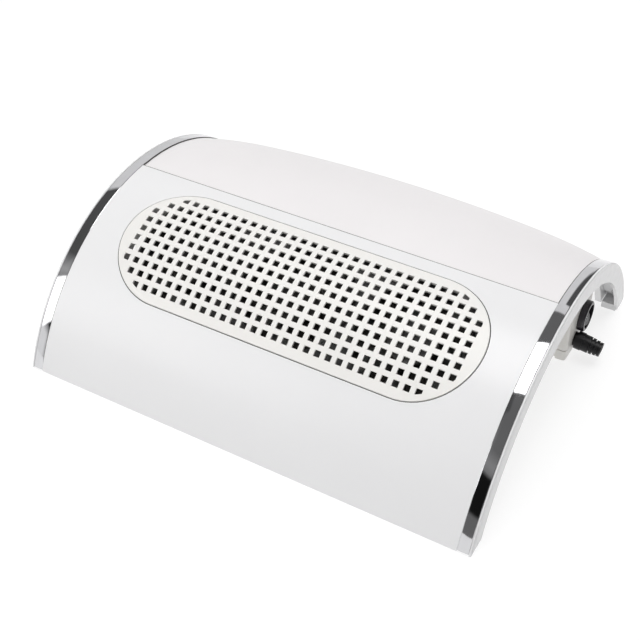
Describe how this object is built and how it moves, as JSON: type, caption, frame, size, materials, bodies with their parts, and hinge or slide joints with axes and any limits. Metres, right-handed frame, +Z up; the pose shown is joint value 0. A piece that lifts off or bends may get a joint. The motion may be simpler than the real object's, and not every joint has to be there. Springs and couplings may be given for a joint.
{
  "type": "nail dust collector",
  "caption": "Table-top nail dust collector: arched glossy shell with a padded hand rest, a square-holed grille over a row of fans, a dust bag and a rocker switch.",
  "frame": {"origin": "on the table under the middle of the shell's footprint, below the arch's axis", "axes": "+X across from left to right as the user sees it, +Y from the grille's side to the hand rest's rear, +Z up"},
  "size_m": [0.3335, 0.2707, 0.0965],
  "materials": {
    "shell_white": "high gloss moulded ABS",
    "chrome_trim": "bright chrome plating",
    "grille_cream": "satin moulded ABS",
    "pad_leather": "smooth satin synthetic leather over foam",
    "pad_board": "sealed fibreboard",
    "duct_white": "moulded ABS, light texture",
    "fan_black": "moulded glass-filled plastic",
    "blade_black": "polished moulding",
    "copper_winding": "enamelled copper wire",
    "bearing_bronze": "sintered bronze",
    "steel_shaft": "ground steel",
    "magnet_grey": "bonded ferrite",
    "bag_fabric": "white non-woven cloth",
    "elastic_white": "woven elastic",
    "bay_white": "gloss moulded ABS",
    "board_green": "printed circuit laminate",
    "core_steel": "varnished steel laminations",
    "coil_tape": "polyester tape",
    "capacitor_sleeve": "aluminium can in a dark sleeve",
    "terminal_green": "moulded nylon",
    "fuse_glass": "clear glass tube with plated caps",
    "switch_black": "moulded nylon",
    "contact_brass": "brass blade",
    "relief_rubber": "moulded soft PVC",
    "foot_rubber": "grey rubber",
    "screw_steel": "zinc plated"
  },
  "bodies": {
    "base": {"top_shell": "shell_white", "chrome_strip_left": "chrome_trim", "chrome_strip_right": "chrome_trim", "pad_board": "pad_board", "hand_rest_pad": "pad_leather", "pad_screws": "screw_steel", "fan_duct": "duct_white", "outlet_plate": "duct_white", "fan_screws": "screw_steel", "duct_screws": "screw_steel", "power_housing": "bay_white", "bottom_tray": "bay_white", "power_board": "board_green", "transformer_core": "core_steel", "transformer_coil": "coil_tape", "capacitors": "capacitor_sleeve", "terminal_block": "terminal_green", "fuse": "fuse_glass", "board_screws": "screw_steel", "tray_screws": "screw_steel", "switch_body": "switch_black", "switch_terminals": "contact_brass", "strain_relief": "relief_rubber", "rubber_feet": "foot_rubber", "fan_frame_1": "fan_black", "fan_stator_1": "copper_winding", "fan_bearing_1": "bearing_bronze", "fan_frame_2": "fan_black", "fan_stator_2": "copper_winding", "fan_bearing_2": "bearing_bronze", "fan_frame_3": "fan_black", "fan_stator_3": "copper_winding", "fan_bearing_3": "bearing_bronze"},
    "grille": {"grille": "grille_cream"},
    "bag": {"dust_bag": "bag_fabric", "bag_elastic": "elastic_white"},
    "rocker": {"switch_rocker": "switch_black"},
    "rotor_1": {"fan_impeller_1": "blade_black", "fan_shaft_1": "steel_shaft", "fan_magnet_1": "magnet_grey"},
    "rotor_2": {"fan_impeller_2": "blade_black", "fan_shaft_2": "steel_shaft", "fan_magnet_2": "magnet_grey"},
    "rotor_3": {"fan_impeller_3": "blade_black", "fan_shaft_3": "steel_shaft", "fan_magnet_3": "magnet_grey"}
  },
  "joints": [
    {"name": "fan_1_spin", "type": "hinge", "parent": "base", "child": "rotor_1", "pos_m": [-0.081, -0.04929, 0.05771], "axis": [0, -0.4107, 0.9118], "continuous": true},
    {"name": "fan_2_spin", "type": "hinge", "parent": "base", "child": "rotor_2", "pos_m": [0, -0.04929, 0.05771], "axis": [0, -0.4107, 0.9118], "continuous": true},
    {"name": "fan_3_spin", "type": "hinge", "parent": "base", "child": "rotor_3", "pos_m": [0.081, -0.04929, 0.05771], "axis": [0, -0.4107, 0.9118], "continuous": true},
    {"name": "grille_lift", "type": "slide", "parent": "base", "child": "grille", "axis": [0, -0.4107, 0.9118], "range_m": [0, 0.05]},
    {"name": "bag_pull", "type": "slide", "parent": "base", "child": "bag", "axis": [0, 0.4107, -0.9118], "range_m": [0, 0.014]},
    {"name": "switch_press", "type": "hinge", "parent": "base", "child": "rocker", "pos_m": [0.1496, 0.0683, 0.03], "axis": [0, 1, 0], "range_deg": [0, 24]}
  ]
}
